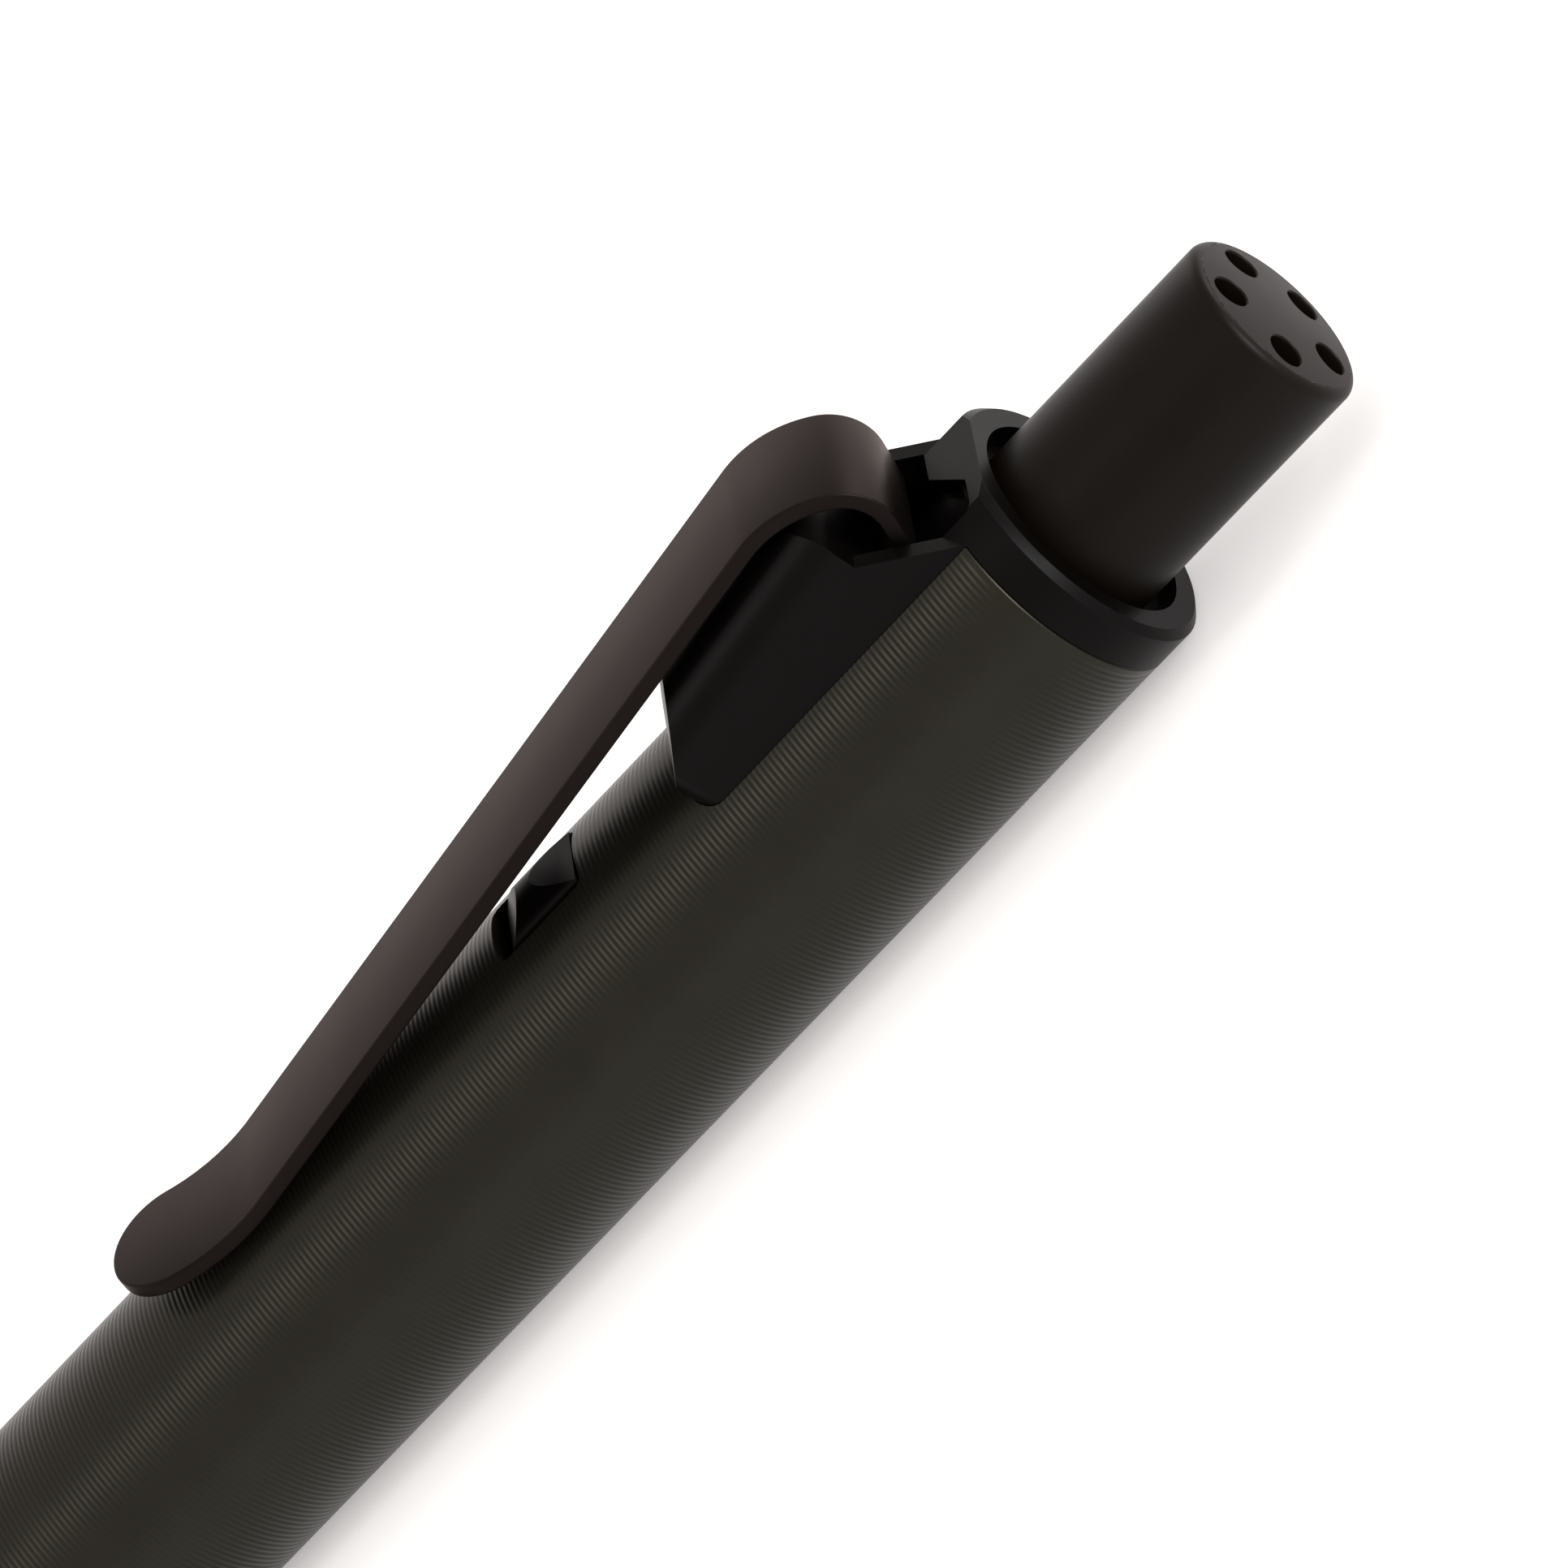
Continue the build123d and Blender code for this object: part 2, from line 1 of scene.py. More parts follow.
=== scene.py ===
import json
from math import atan2, cos, pi, radians, sin, sqrt, tan, tau

import bmesh
import bpy
from mathutils import Matrix, Vector

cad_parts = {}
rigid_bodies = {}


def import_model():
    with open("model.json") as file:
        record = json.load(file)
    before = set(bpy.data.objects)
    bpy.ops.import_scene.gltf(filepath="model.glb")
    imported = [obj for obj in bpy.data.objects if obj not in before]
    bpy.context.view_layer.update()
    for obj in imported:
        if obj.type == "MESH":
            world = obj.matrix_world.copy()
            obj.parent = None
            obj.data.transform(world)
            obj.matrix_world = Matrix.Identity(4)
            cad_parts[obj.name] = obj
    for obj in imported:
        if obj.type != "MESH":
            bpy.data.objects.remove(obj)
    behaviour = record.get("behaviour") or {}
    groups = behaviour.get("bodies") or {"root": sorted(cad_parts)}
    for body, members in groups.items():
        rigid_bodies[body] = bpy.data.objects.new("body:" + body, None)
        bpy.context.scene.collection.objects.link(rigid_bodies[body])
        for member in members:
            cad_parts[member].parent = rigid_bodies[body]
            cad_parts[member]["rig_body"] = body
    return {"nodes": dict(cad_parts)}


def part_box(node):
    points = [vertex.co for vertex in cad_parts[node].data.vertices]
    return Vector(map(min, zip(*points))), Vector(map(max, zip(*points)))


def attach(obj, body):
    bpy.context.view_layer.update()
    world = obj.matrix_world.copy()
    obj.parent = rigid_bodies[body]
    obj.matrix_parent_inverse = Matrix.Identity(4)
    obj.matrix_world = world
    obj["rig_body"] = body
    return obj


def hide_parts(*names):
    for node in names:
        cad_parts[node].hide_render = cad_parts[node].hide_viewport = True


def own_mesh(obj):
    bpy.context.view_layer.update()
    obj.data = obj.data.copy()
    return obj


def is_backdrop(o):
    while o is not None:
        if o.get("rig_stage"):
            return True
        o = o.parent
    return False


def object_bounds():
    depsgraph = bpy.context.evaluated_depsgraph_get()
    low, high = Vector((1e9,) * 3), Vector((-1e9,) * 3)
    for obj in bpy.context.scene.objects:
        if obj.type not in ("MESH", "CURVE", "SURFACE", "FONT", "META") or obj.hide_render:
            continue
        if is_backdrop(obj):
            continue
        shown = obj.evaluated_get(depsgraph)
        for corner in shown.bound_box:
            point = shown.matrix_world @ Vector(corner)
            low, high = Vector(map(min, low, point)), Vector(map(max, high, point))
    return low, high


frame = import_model()
cad_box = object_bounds()


# ---- Barrel ----
# Tube of drawn aluminium, turned outside in one pass of a pointed tool that leaves fine rings, then blasted
# lightly and anodised dark olive. The slot for the clip's block is milled in from the button end, and the
# window for the latch is milled in front of it.
mm = 0.001
touching = 0.001 * mm
corner_angle = radians(30)
barrel_low, barrel_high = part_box("barrel")
barrel_front, barrel_end = barrel_low.x, barrel_high.x
barrel_radius = barrel_high.y
axis_height = (barrel_low.z + barrel_high.z) / 2
barrel_wall = 0.9 * mm
barrel_bore = barrel_radius - barrel_wall
end_chamfer = 0.12 * mm
plain_end = 0.3 * mm
ring_pitch = 0.24 * mm
ring_depth = 0.018 * mm
slot_length = 14.23 * mm
slot_half_width = 3.39 * mm
slot_corner = 1.0 * mm
window_near, window_far = 19.75 * mm, 24.3 * mm
window_half_width = 1.6 * mm
window_corner = 0.4 * mm
far_out = 30 * mm
olive_dye = (0.0152, 0.0144, 0.0104, 1)
olive_pale = (0.0206, 0.0195, 0.0145, 1)


class Signal:
    """The value of one shader socket, which arithmetic works on: each operator adds a Math node."""

    def __init__(self, finish, socket):
        self.finish = finish
        self.socket = socket

    def maths(self, operation, *values):
        return self.finish.node("ShaderNodeMath", {"operation": operation}, dict(enumerate(values)))

    def __add__(self, other):
        return self.maths("ADD", self, other)

    def __mul__(self, other):
        return self.maths("MULTIPLY", self, other)

    __radd__ = __add__
    __rmul__ = __mul__


class Finish:
    """A finish: one Principled shader, with what is even set on it and what varies linked to it."""

    def __init__(self, name, **even):
        self.material = bpy.data.materials.new(name)
        self.material.use_nodes = True
        self.tree = self.material.node_tree
        self.shader = self.tree.nodes["Principled BSDF"]
        for socket, value in even.items():
            self.shader.inputs[socket.replace("_", " ")].default_value = value
        self.place = self.node("ShaderNodeTexCoord", output="Object")

    def node(self, kind, settings={}, inputs={}, output=0):
        made = self.tree.nodes.new(kind)
        for name, value in settings.items():
            setattr(made, name, value)
        for name, value in inputs.items():
            self.feed(made.inputs[name], value)
        return Signal(self, made.outputs[output])

    def feed(self, socket, value):
        if isinstance(value, Signal):
            self.tree.links.new(value.socket, socket)
        else:
            socket.default_value = value

    def vary(self, **varying):
        """Links or sets sockets of the shader: Base_Color, Roughness, Normal and so on."""
        for socket, value in varying.items():
            self.feed(self.shader.inputs[socket.replace("_", " ")], value)

    def grain(self, size, stretch=(1, 1, 1)):
        """Noise from 0 to 1 whose spots are about the given size, drawn out along the axes by stretch."""
        scale = [1 / (size * factor) for factor in stretch]
        spots = self.node("ShaderNodeMapping", {}, {"Vector": self.place, "Scale": scale})
        return self.node("ShaderNodeTexNoise", {}, {"Vector": spots, "Scale": 1.0, "Detail": 3.0})

    def mix(self, share, first, second):
        """Colour that goes from the first to the second as share goes from 0 to 1."""
        return self.node("ShaderNodeMix", {"data_type": "RGBA"}, {0: share, 6: first, 7: second}, 2)

    def relief(self, height, depth):
        """Normal of a surface whose height goes from 0 to 1 over the given depth."""
        return self.node("ShaderNodeBump", {}, {"Height": height, "Distance": depth, "Strength": 1.0})


def turned(outline, steps):
    """Solid turned about the holder's axis from its outline, a list of (x, radius)."""
    bm = bmesh.new()
    corners = [bm.verts.new((x, 0, radius)) for x, radius in outline]
    edges = [bm.edges.new(pair) for pair in zip(corners, corners[1:] + corners[:1])]
    bmesh.ops.spin(bm, geom=corners + edges, cent=(0, 0, 0), axis=(1, 0, 0), dvec=(0, 0, 0),
                   angle=tau, steps=steps, use_merge=True)
    bmesh.ops.remove_doubles(bm, verts=bm.verts, dist=touching)
    bmesh.ops.recalc_face_normals(bm, faces=bm.faces)
    bmesh.ops.translate(bm, verts=bm.verts, vec=(0, 0, axis_height))
    return bm


def slab(x_range, y_range, z_range):
    """Box between two values on each axis."""
    bm = bmesh.new()
    bmesh.ops.create_cube(bm, size=1)
    spans = (x_range, y_range, z_range)
    bmesh.ops.scale(bm, verts=bm.verts, vec=[high - low for low, high in spans])
    bmesh.ops.translate(bm, verts=bm.verts, vec=[(low + high) / 2 for low, high in spans])
    return bm


def round_edges(bm, radius, chosen, segments=3):
    """Rounds the edges that the chosen test accepts."""
    bmesh.ops.bevel(bm, geom=[edge for edge in bm.edges if chosen(edge)], offset=radius,
                    segments=segments, profile=0.5, affect="EDGES", material=-1, clamp_overlap=True)
    return bm


def upright(edge):
    """Is it a vertical edge?"""
    run = edge.verts[1].co - edge.verts[0].co
    return abs(run.z) > 0.99 * run.length


def sharp(edge):
    """Is it a corner, rather than a line inside a curved or flat surface?"""
    return len(edge.link_faces) == 2 and edge.calc_face_angle() > corner_angle


def milled(bm, tool):
    """What is left of a piece where a tool's solid has been taken out of it."""
    objects = []
    for solid in (bm, tool):
        mesh = bpy.data.meshes.new("milling")
        solid.to_mesh(mesh)
        solid.free()
        objects.append(bpy.data.objects.new("milling", mesh))
        bpy.context.scene.collection.objects.link(objects[-1])
    piece, cutter = objects
    boolean = piece.modifiers.new("milling", "BOOLEAN")
    boolean.operation = "DIFFERENCE"
    boolean.solver = "EXACT"
    boolean.object = cutter
    result = bmesh.new()
    result.from_object(piece, bpy.context.evaluated_depsgraph_get())
    for helper in objects:
        bpy.data.objects.remove(helper)
    return result


def finished(bm, node, finish, crease=30):
    """Makes a piece's object from its mesh: smooth between its creases, and in place of its CAD node."""
    for face in bm.faces:
        face.smooth = True
    for edge in bm.edges:
        edge.smooth = len(edge.link_faces) != 2 or edge.calc_face_angle() < radians(crease)
    mesh = bpy.data.meshes.new(node)
    bm.to_mesh(mesh)
    bm.free()
    mesh.materials.append(finish.material)
    piece = bpy.data.objects.new("finished_" + node, mesh)
    bpy.context.scene.collection.objects.link(piece)
    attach(piece, frame["nodes"][node]["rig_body"])
    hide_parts(node)
    return piece


ring_count = int((barrel_end - barrel_front - 2 * plain_end) / ring_pitch)
first_ring = (barrel_end + barrel_front - ring_count * ring_pitch) / 2
barrel_outline = [(barrel_front, barrel_bore), (barrel_front, barrel_radius - end_chamfer),
                  (barrel_front + end_chamfer, barrel_radius)]
for ring in range(ring_count):
    crest = first_ring + ring * ring_pitch
    barrel_outline += [(crest, barrel_radius), (crest + ring_pitch / 2, barrel_radius - ring_depth)]
barrel_outline += [(first_ring + ring_count * ring_pitch, barrel_radius),
                   (barrel_end - end_chamfer, barrel_radius),
                   (barrel_end, barrel_radius - end_chamfer), (barrel_end, barrel_bore)]
barrel = turned(barrel_outline, steps=88)
slot_tool = slab((barrel_end - slot_length, barrel_end + mm), (-slot_half_width, slot_half_width),
                 (axis_height, far_out))
round_edges(slot_tool, slot_corner,
            lambda edge: upright(edge) and edge.verts[0].co.x < barrel_end - slot_length / 2, segments=8)
barrel = milled(barrel, slot_tool)
window_tool = slab((barrel_end - window_far, barrel_end - window_near),
                   (-window_half_width, window_half_width), (axis_height, far_out))
round_edges(window_tool, window_corner, upright, segments=5)
barrel = milled(barrel, window_tool)

olive = Finish("olive_anodised_aluminium", Metallic=0.7, IOR=1.3)
cloud = olive.grain(2.5 * mm)
pores = olive.grain(0.05 * mm)
olive.vary(
    Base_Color=olive.mix(cloud, olive_dye, olive_pale),
    Roughness=0.27 + 0.08 * cloud + 0.05 * pores,
    Normal=olive.relief(pores, 0.001 * mm),
)
finished(barrel, "barrel", olive, crease=8)


# ---- Clip carrier ----
# One black moulding in a glass-filled plastic: the collar, the block under the clip, the two cheeks with
# the clip's pocket, and the sprung tab. Its edges come out of the mould slightly rounded, and its
# surface has the mould's fine spark-eroded texture. It is pushed into the barrel until the tab snaps in.
carrier_edge = 0.07 * mm
flat_enough = radians(0.5)
moulded_black = (0.0007, 0.0005, 0.0005, 1)
rubbed_black = (0.0018, 0.0014, 0.0012, 1)


def copied(node):
    """A CAD node's mesh with its triangles joined into whole faces."""
    bm = bmesh.new()
    bm.from_mesh(frame["nodes"][node].data)
    bmesh.ops.remove_doubles(bm, verts=bm.verts, dist=touching)
    bmesh.ops.dissolve_limit(bm, angle_limit=flat_enough, verts=bm.verts, edges=bm.edges)
    return bm


carrier = round_edges(copied("clip_carrier"), carrier_edge, sharp, segments=2)
black = Finish("black_moulding", IOR=1.155)
spark = black.grain(0.06 * mm)
rub = black.grain(3 * mm)
black.vary(
    Base_Color=black.mix(rub, moulded_black, rubbed_black),
    Roughness=0.30 + 0.10 * rub + 0.05 * spark,
    Normal=black.relief(spark, 0.0015 * mm),
)
finished(carrier, "clip_carrier", black, crease=12)


# ---- Pocket clip ----
# Strip of spring steel, blanked with a round free end, tumbled so that its edges lose their burr, bent
# in four places, hardened, and coated in a dark warm satin. Its foot lies in the carrier's slot.
clip_thickness = 0.65 * mm
clip_width = 5.1 * mm
clip_edge = 0.11 * mm
waist_from_end = 38.3 * mm
waist_gap = 0.05 * mm
waist_radius = 10 * mm
arm_angle = radians(7.1)
flare_angle = radians(18)
flare_length = 2.5 * mm
free_end_radius = 2.5 * mm
top_from_end = 4.7 * mm
top_radius, top_turn = 4.8 * mm, radians(40)
curl_radius, leg_angle = 2.3 * mm, radians(114)
foot_radius = 0.4 * mm + clip_thickness
foot_length = 4 * mm
fold_step = radians(3)
cut_snap = 1e-8
satin_steel = (0.0135, 0.0106, 0.0098, 1)
satin_steel_shade = (0.0098, 0.0077, 0.0071, 1)
satin_steel_limb = (1.0, 0.93, 0.91, 1)

waist = barrel_end - waist_from_end
waist_top = barrel_radius + waist_gap + clip_thickness
free_end = Vector((waist - waist_radius * sin(flare_angle) - flare_length * cos(flare_angle), 0,
                   waist_top + waist_radius * (1 - cos(flare_angle)) + flare_length * sin(flare_angle)))
top_x = barrel_end - top_from_end
arm_run = (top_x - top_radius * sin(arm_angle)) - (waist + waist_radius * sin(arm_angle))
top_height = (waist_top + waist_radius * (1 - cos(arm_angle)) + arm_run * tan(arm_angle)
              + top_radius * (1 - cos(arm_angle)))
curl_end_height = (top_height - top_radius * (1 - cos(top_turn))
                   - curl_radius * (cos(top_turn) - cos(leg_angle)))
foot_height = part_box("pocket_clip")[0].z - axis_height
leg_length = (curl_end_height - foot_radius * (1 + cos(leg_angle)) - foot_height) / sin(leg_angle)

# Runs and bends from the free end to the foot: (length, 0) or (radius, turn), upwards positive.
runs = [
    (flare_length, 0), (waist_radius, flare_angle + arm_angle), (arm_run / cos(arm_angle), 0),
    (top_radius, -arm_angle - top_turn), (curl_radius, top_turn - leg_angle), (leg_length, 0),
    (foot_radius, leg_angle - pi), (foot_length, 0),
]
folds = []
station = 0.0
for size, turn in runs:
    if turn == 0:
        station += size
        continue
    count = round(abs(turn) / fold_step)
    for k in range(count):
        folds.append((station + size * abs(turn) * (k + 0.5) / count, turn / count))
    station += size * abs(turn)
clip = slab((0, station), (-clip_width / 2, clip_width / 2), (-clip_thickness, 0))
round_edges(clip, free_end_radius, lambda edge: upright(edge) and edge.verts[0].co.x < mm, segments=16)
round_edges(clip, clip_edge, sharp, segments=3)
for place, turn in folds:
    bmesh.ops.bisect_plane(clip, geom=clip.verts[:] + clip.edges[:] + clip.faces[:], dist=cut_snap,
                           plane_co=(place, 0, 0), plane_no=(1, 0, 0))
blank_station = {vert: vert.co.x for vert in clip.verts}
for place, turn in reversed(folds):
    on_line = [vert for vert, x in blank_station.items() if abs(x - place) < touching]
    beyond = [vert for vert, x in blank_station.items() if x - place > touching]
    for verts, share in ((on_line, 0.5), (beyond, 1.0)):
        fold = Matrix.Rotation(-turn * share, 3, "Y")
        bmesh.ops.rotate(clip, verts=verts, cent=(place, 0, 0), matrix=fold)
bmesh.ops.rotate(clip, verts=clip.verts, cent=(0, 0, 0), matrix=Matrix.Rotation(flare_angle, 3, "Y"))
bmesh.ops.translate(clip, verts=clip.verts, vec=free_end + Vector((0, 0, axis_height)))

steel = Finish("satin_coated_spring_steel", Metallic=1.0, Specular_Tint=satin_steel_limb)
coat = steel.grain(0.08 * mm)
haze = steel.grain(4 * mm)
steel.vary(
    Base_Color=steel.mix(haze, satin_steel_shade, satin_steel),
    Roughness=0.40 + 0.10 * haze + 0.05 * coat,
    Normal=steel.relief(coat, 0.002 * mm),
)
finished(clip, "pocket_clip", steel)


# ---- Push button ----
# Cap turned from aluminium with a hollow skirt, its end slightly domed and its rim well rounded. Five
# blind holes are drilled in a ring, with a small break on each edge. It is matt black anodised.
button_low, button_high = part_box("push_button")
button_end, skirt_front = button_high.x, button_low.x
button_radius = button_high.y
button_wall = 0.9 * mm
button_bore = button_radius - button_wall
button_dome = 0.25 * mm
dome_steps = 10
rim_radius = 0.9 * mm
roof = 3.4 * mm
hole_radius = 0.68 * mm
hole_depth = 1.4 * mm
hole_break = 0.1 * mm
break_steps = 4
hole_ring = 2.39 * mm
first_hole = radians(-16.4)
hole_count = 5
matt_black = (0.0026, 0.0016, 0.0009, 1)
matt_black_rubbed = (0.0042, 0.0029, 0.0020, 1)

dome_radius = (button_radius ** 2 + button_dome ** 2) / (2 * button_dome)
rim_x = button_end - button_dome
button_outline = [(button_end - roof, 0), (button_end - roof, button_bore), (skirt_front, button_bore),
                  (skirt_front, button_radius), (rim_x, button_radius)]
for k in range(dome_steps - 1, 0, -1):
    height = button_radius * k / dome_steps
    button_outline.append((button_end - dome_radius + sqrt(dome_radius ** 2 - height ** 2), height))
button_outline.append((button_end, 0))
button = turned(button_outline, steps=128)


def on_rim(edge):
    """Is it part of the circle where the button's dome meets its side?"""
    return sharp(edge) and all(abs(vert.co.x - rim_x) < 0.01 * mm for vert in edge.verts)


round_edges(button, rim_radius, on_rim, segments=12)
hole_outline = [(-hole_depth - hole_radius / 3, 0), (-hole_depth, hole_radius)]
for k in range(break_steps + 1):
    swing = radians(90) * k / break_steps
    hole_outline.append((-hole_break * (1 - sin(swing)), hole_radius + hole_break * (1 - cos(swing))))
hole_outline += [(mm, hole_radius + hole_break), (mm, 0)]
for k in range(hole_count):
    around = first_hole + k * tau / hole_count
    drill = turned(hole_outline, steps=48)
    face_x = button_end - dome_radius + sqrt(dome_radius ** 2 - hole_ring ** 2)
    lean = Matrix.Rotation(-atan2(hole_ring, dome_radius), 3, "Y")
    bmesh.ops.translate(drill, verts=drill.verts, vec=(0, 0, -axis_height))
    bmesh.ops.rotate(drill, verts=drill.verts, cent=(0, 0, 0), matrix=lean)
    bmesh.ops.translate(drill, verts=drill.verts, vec=(face_x, 0, hole_ring))
    bmesh.ops.rotate(drill, verts=drill.verts, cent=(0, 0, 0), matrix=Matrix.Rotation(-around, 3, "X"))
    bmesh.ops.translate(drill, verts=drill.verts, vec=(0, 0, axis_height))
    button = milled(button, drill)

matt = Finish("matt_black_anodised", IOR=1.19)
blast = matt.grain(0.07 * mm)
handling = matt.grain(2.5 * mm)
matt.vary(
    Base_Color=matt.mix(handling, matt_black, matt_black_rubbed),
    Roughness=0.31 + 0.10 * handling + 0.05 * blast,
    Normal=matt.relief(blast, 0.0012 * mm),
)
finished(button, "push_button", matt)


# ---- Inside the button ----
# A moulded core, pressed into the skirt, carries the end of the lead tube. The rubber ring in its groove
# grips the tube, so the button pulls off when the holder is refilled.
def dressed(finish, *nodes):
    """Gives CAD nodes, whose shape is already right, their finish."""
    for node in nodes:
        for place in frame["nodes"][node].material_slots:
            place.material = finish.material


ivory, pale_ivory = (0.62, 0.58, 0.47, 1), (0.72, 0.69, 0.60, 1)
natural = Finish("natural_moulding", IOR=1.52)
flow = natural.grain(1.2 * mm, stretch=(4, 1, 1))
natural.vary(
    Base_Color=natural.mix(flow, ivory, pale_ivory),
    Roughness=0.38 + 0.2 * flow,
    Normal=natural.relief(natural.grain(0.1 * mm), 0.004 * mm),
)
dressed(natural, "button_core", "tube_guide")

soot, bloomed_soot = (0.010, 0.010, 0.010, 1), (0.024, 0.023, 0.022, 1)
rubber = Finish("black_rubber", IOR=1.5)
bloom = rubber.grain(0.5 * mm)
rubber.vary(
    Base_Color=rubber.mix(bloom, soot, bloomed_soot),
    Roughness=0.55 + 0.25 * bloom,
    Normal=rubber.relief(rubber.grain(0.06 * mm), 0.004 * mm),
)
dressed(rubber, "button_o_ring", "grip_o_ring")


# ---- Lead tube, spring and washer ----
# The thin drawn tube pushes the collet and carries the spare length of lead. A brass collar is fixed on
# it, and the spring works between that collar and a plated washer that rests on the end of the nose.
dull_aluminium, bright_aluminium = (0.62, 0.63, 0.64, 1), (0.78, 0.78, 0.78, 1)
aluminium = Finish("drawn_aluminium", Metallic=1.0)
draw = aluminium.grain(0.04 * mm, stretch=(60, 1, 1))
aluminium.vary(
    Base_Color=aluminium.mix(draw, dull_aluminium, bright_aluminium),
    Roughness=0.28 + 0.2 * draw,
    Normal=aluminium.relief(draw, 0.0015 * mm),
)
dressed(aluminium, "lead_tube")

tarnished_brass, bright_brass = (0.55, 0.37, 0.13, 1), (0.78, 0.57, 0.25, 1)
brass = Finish("turned_brass", Metallic=1.0)
feed_marks = brass.grain(0.04 * mm, stretch=(1, 60, 60))
tarnish = brass.grain(1.5 * mm)
brass.vary(
    Base_Color=brass.mix(tarnish, tarnished_brass, bright_brass),
    Roughness=0.22 + 0.15 * tarnish + 0.1 * feed_marks,
    Normal=brass.relief(feed_marks, 0.002 * mm),
)
dressed(brass, "spring_collar", "thread_bush", "collet_body")

dull_plating, bright_plating = (0.45, 0.44, 0.43, 1), (0.60, 0.59, 0.58, 1)
plated = Finish("plated_steel", Metallic=1.0)
lathe_marks = plated.grain(0.04 * mm, stretch=(1, 60, 60))
plated.vary(
    Base_Color=plated.mix(lathe_marks, dull_plating, bright_plating),
    Roughness=0.20 + 0.15 * lathe_marks,
    Normal=plated.relief(lathe_marks, 0.0015 * mm),
)
dressed(plated, "spring_washer")

spring_wire_radius = 0.225 * mm
spring_mean_radius = 2.35 * mm
spring_length = 18 * mm
spring_coils = 12
coil_steps = 32
closed_coil = 2.05
dark_wire, bright_wire = (0.35, 0.34, 0.33, 1), (0.50, 0.49, 0.47, 1)
washer_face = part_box("spring_washer")[1].x
spring = bmesh.new()
standing = Matrix.Rotation(radians(90), 4, "X")
start = Matrix.Translation((washer_face + spring_wire_radius, 0, spring_mean_radius)) @ standing
bmesh.ops.create_circle(spring, cap_ends=True, segments=10, radius=spring_wire_radius, matrix=start)
section = spring.verts[:] + spring.edges[:] + spring.faces[:]
closed_pitch = closed_coil * spring_wire_radius
open_pitch = (spring_length - 2 * spring_wire_radius - 2 * closed_pitch) / (spring_coils - 2)
for turns, pitch in ((1, closed_pitch), (spring_coils - 2, open_pitch), (1, closed_pitch)):
    wound = bmesh.ops.spin(spring, geom=section, cent=(0, 0, 0), axis=(1, 0, 0),
                           dvec=(pitch / coil_steps, 0, 0), angle=turns * tau, steps=turns * coil_steps)
    section = wound["geom_last"]
bmesh.ops.recalc_face_normals(spring, faces=spring.faces)
bmesh.ops.translate(spring, verts=spring.verts, vec=(0, 0, axis_height))
wire = Finish("spring_wire", Metallic=1.0)
drawn = wire.grain(0.03 * mm)
wire.vary(
    Base_Color=wire.mix(drawn, dark_wire, bright_wire),
    Roughness=0.25 + 0.2 * drawn,
    Normal=wire.relief(drawn, 0.001 * mm),
)
spring = finished(spring, "return_spring", wire, crease=60)
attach(spring, "holder")
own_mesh(spring)


# ---- Grip section ----
# Turned from aluminium bar and black anodised: a plain land behind, then rings for the fingers. Its
# thread goes into the brass bush in the barrel's front end, and a rubber ring keeps it from working loose.
grip_low, grip_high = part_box("grip_section")
grip_front, spigot_rear = grip_low.x, grip_high.x
grip_radius = grip_high.y
thread_wall = 0.72 * mm
spigot_radius = barrel_bore - thread_wall
grip_bore = 3.45 * mm
thread_bore = 3.75 * mm
thread_length = 7 * mm
land_length = 9 * mm
finger_step = 0.2 * mm
finger_radius = grip_radius - finger_step
finger_pitch = 1.6 * mm
finger_groove = 0.7 * mm
finger_depth = 0.35 * mm
mouth_chamfer = 0.3 * mm
finger_edge = 0.06 * mm
deep_black, touched_black = (0.012, 0.0115, 0.011, 1), (0.020, 0.0195, 0.0185, 1)
land_front = barrel_front - land_length
grip_outline = [(spigot_rear, grip_bore), (spigot_rear, spigot_radius), (barrel_front, spigot_radius),
                (barrel_front, grip_radius), (land_front, grip_radius), (land_front, finger_radius)]
finger_rings = int((land_front - grip_front - finger_pitch) / finger_pitch)
for ring in range(finger_rings):
    rear = land_front - (ring + 0.5) * finger_pitch
    front = rear - finger_groove
    grip_outline += [(rear, finger_radius), (rear, finger_radius - finger_depth),
                     (front, finger_radius - finger_depth), (front, finger_radius)]
grip_outline += [(grip_front + mouth_chamfer, finger_radius), (grip_front, finger_radius - mouth_chamfer),
                 (grip_front, thread_bore), (grip_front + thread_length, thread_bore),
                 (grip_front + thread_length, grip_bore)]
grip = round_edges(turned(grip_outline, steps=112), finger_edge, sharp, segments=2)
anodised = Finish("black_anodised_aluminium", Metallic=0.5, IOR=1.45)
tool_marks = anodised.grain(0.05 * mm, stretch=(1, 40, 40))
touch = anodised.grain(4 * mm)
anodised.vary(
    Base_Color=anodised.mix(touch, deep_black, touched_black),
    Roughness=0.34 + 0.12 * touch + 0.08 * tool_marks,
    Normal=anodised.relief(tool_marks, 0.0015 * mm),
)
finished(grip, "grip_section", anodised)


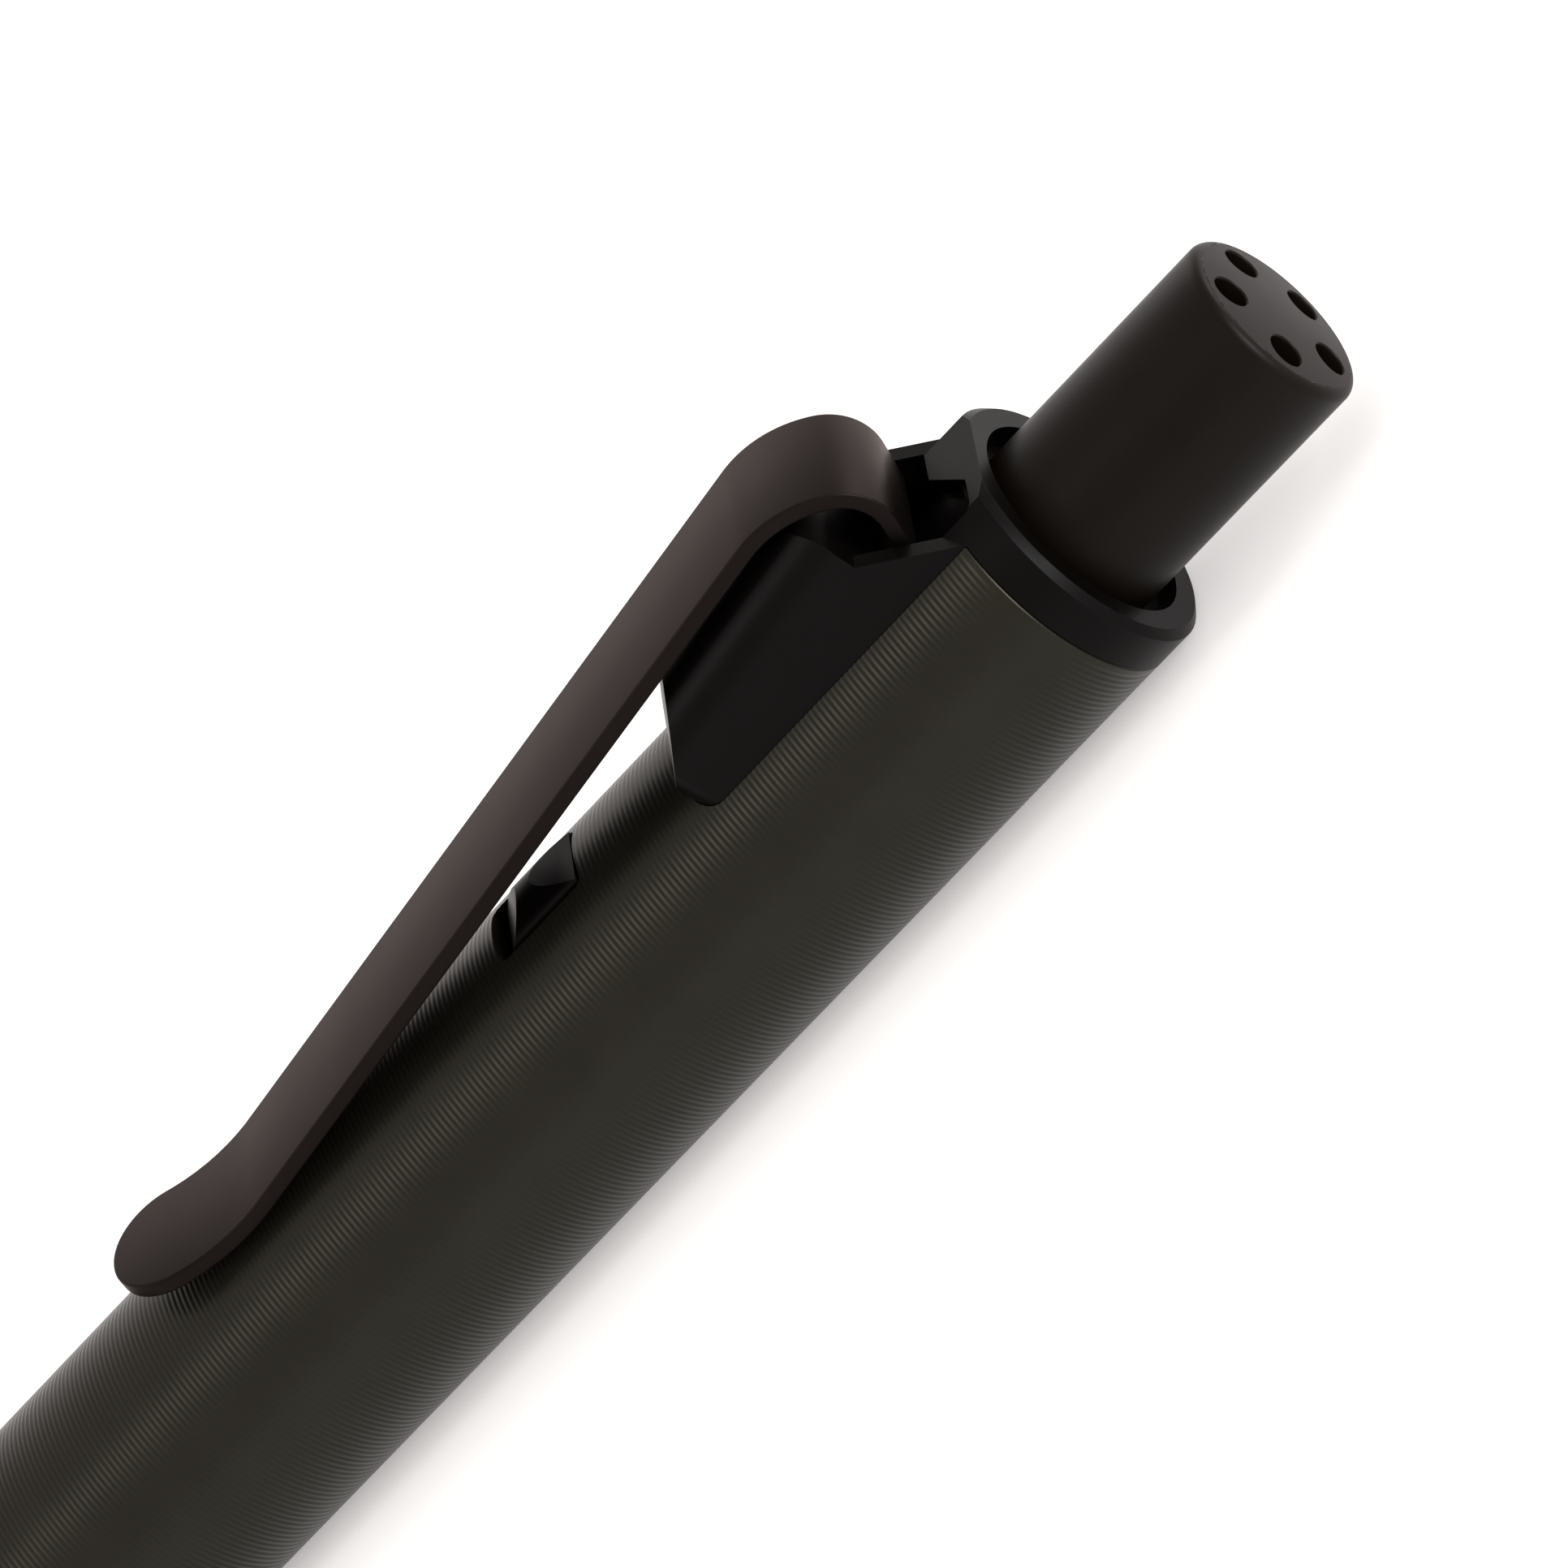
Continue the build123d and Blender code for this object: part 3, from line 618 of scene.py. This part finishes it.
# ---- Nose cone and closing ring ----
# The nose is a plain turned taper, black anodised like the grip. A steel ring with a conical mouth is
# pressed into its tip: the jaws are pulled into that cone, which closes them on the lead.
nose_low, nose_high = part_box("nose_cone")
nose_front, nose_rear = nose_low.x, nose_high.x
nose_rear_radius = nose_high.y
nose_front_radius = 3.1 * mm
nose_spigot_radius = 3.73 * mm
nose_bore = 2.0 * mm
ring_radius = 2.65 * mm
ring_length = 3 * mm
ring_wall = 0.34 * mm
ring_edge = 0.04 * mm
seat_length = 1.5 * mm
seat_angle = radians(12)
nose_edge = 0.25 * mm
nose = turned([
    (nose_rear, nose_bore), (nose_rear, nose_spigot_radius), (grip_front, nose_spigot_radius),
    (grip_front, nose_rear_radius), (nose_front, nose_front_radius), (nose_front, ring_radius),
    (nose_front + ring_length, ring_radius), (nose_front + ring_length, nose_bore),
], steps=112)


def on_tip(edge):
    """Is it part of the outer circle at the nose's front?"""
    start = edge.verts[0].co
    off_axis = (start - Vector((nose_front, 0, axis_height))).length
    return sharp(edge) and start.x < nose_front + touching and off_axis > nose_front_radius - touching


round_edges(nose, nose_edge, on_tip, segments=5)
finished(nose, "nose_cone", anodised)

mouth_radius = ring_radius - ring_wall
throat_radius = mouth_radius - seat_length * tan(seat_angle)
closing_ring = turned([
    (nose_front, mouth_radius), (nose_front, ring_radius), (nose_front + ring_length, ring_radius),
    (nose_front + ring_length, throat_radius), (nose_front + seat_length, throat_radius),
], steps=96)
round_edges(closing_ring, ring_edge, sharp, segments=2)
finished(closing_ring, "closing_ring", plated)


# ---- Collet jaws and lead ----
# Three fingers of hardened brass, slit from one turned collet, hold a two-millimetre graphite lead. The
# lead is sharpened on a pointer, so its cone has fine turned scratches and a slight metallic shine.
dull_jaw, bright_jaw = (0.46, 0.32, 0.13, 1), (0.60, 0.43, 0.19, 1)
hardened = Finish("hardened_brass", Metallic=1.0)
turning = hardened.grain(0.04 * mm, stretch=(1, 60, 60))
hardened.vary(
    Base_Color=hardened.mix(turning, dull_jaw, bright_jaw),
    Roughness=0.2 + 0.2 * turning,
    Normal=hardened.relief(turning, 0.002 * mm),
)
dressed(hardened, "collet_jaw_1", "collet_jaw_2", "collet_jaw_3")

dark_lead, shiny_lead = (0.045, 0.045, 0.048, 1), (0.12, 0.12, 0.125, 1)
graphite = Finish("graphite", Metallic=0.6, IOR=1.8)
sharpening = graphite.grain(0.03 * mm, stretch=(1, 25, 25))
graphite.vary(
    Base_Color=graphite.mix(sharpening, dark_lead, shiny_lead),
    Roughness=0.34 + 0.2 * sharpening,
    Normal=graphite.relief(sharpening, 0.004 * mm),
)
dressed(graphite, "lead")


# ---- Floor, light and camera ----
# The holder lies on a wide pale sheet in a white surround. Soft lights stand over the grip, beyond the
# button and behind, and the camera looks down at the clip's end of the barrel from the side.
sheet_half_width = 3.0
sheet_white, sheet_grey = (0.84, 0.84, 0.84, 1), (0.80, 0.80, 0.80, 1)
sheet_glow = (1, 0.97, 0.96, 1)
floor_mesh = bmesh.new()
bmesh.ops.create_grid(floor_mesh, x_segments=1, y_segments=1, size=sheet_half_width)
mesh = bpy.data.meshes.new("floor")
floor_mesh.to_mesh(mesh)
floor_mesh.free()
floor = bpy.data.objects.new("floor", mesh)
bpy.context.scene.collection.objects.link(floor)
paper = Finish("lit_pale_sheet", Roughness=0.9, Emission_Color=sheet_glow, Emission_Strength=0.35)
fibre = paper.grain(0.8 * mm)
paper.vary(Base_Color=paper.mix(fibre, sheet_grey, sheet_white))
mesh.materials.append(paper.material)
floor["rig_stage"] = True


def soft_light(name, place, aim, size, power):
    """A square softbox at a place, facing a point."""
    data = bpy.data.lights.new(name, "AREA")
    data.shape = "SQUARE"
    data.size = size
    data.energy = power
    light = bpy.data.objects.new(name, data)
    bpy.context.scene.collection.objects.link(light)
    light.location = place
    light.rotation_euler = (Vector(aim) - Vector(place)).to_track_quat("-Z", "Y").to_euler()


# Each light's place from the point that the camera looks at, its width and its power.
aim = Vector((barrel_end - 11.4 * mm, -3.5 * mm, axis_height + 3.1 * mm))
soft_light("over_the_shoulder", aim + Vector((-0.62, -0.36, 0.70)), aim, 0.24, 1.3)
soft_light("button_end", aim + Vector((0.75, 0.55, 0.12)), aim, 0.3, 2.0)
soft_light("beyond_the_button", aim + Vector((0.83, -0.32, 0.20)), aim, 0.4, 7.0)
soft_light("behind", aim + Vector((-0.05, 0.82, 0.46)), aim, 0.5, 0.8)

surround_white = (1.0, 0.93, 0.905, 1)
world = bpy.data.worlds.new("studio")
bpy.context.scene.world = world
world.use_nodes = True
world.node_tree.nodes["Background"].inputs["Color"].default_value = surround_white
world.node_tree.nodes["Background"].inputs["Strength"].default_value = 1.0
bpy.context.scene.view_settings.view_transform = "Standard"

view_turn = radians(62.0)
view_tilt = radians(23.1)
view_roll = radians(46.23)
view_distance = 397 * mm
focal_length, sensor_width = 260.7, 36
nearest = 20 * mm
towards = Vector((sin(view_tilt), -cos(view_tilt) * sin(view_turn), cos(view_tilt) * cos(view_turn)))
level = Vector((1, 0, 0))
level = (level - level.dot(towards) * towards).normalized()
square_up = towards.cross(level)
right = level * cos(view_roll) - square_up * sin(view_roll)
up = towards.cross(right)
camera_data = bpy.data.cameras.new("camera")
camera_data.lens = focal_length
camera_data.sensor_width = sensor_width
camera_data.clip_start = nearest
camera = bpy.data.objects.new("camera", camera_data)
bpy.context.scene.collection.objects.link(camera)
turned_to = Matrix((right, up, towards)).transposed().to_4x4()
camera.matrix_world = Matrix.Translation(aim + towards * view_distance) @ turned_to
bpy.context.scene.camera = camera

size = {"cad": [list(corner) for corner in cad_box], "visual": [list(corner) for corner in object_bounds()]}
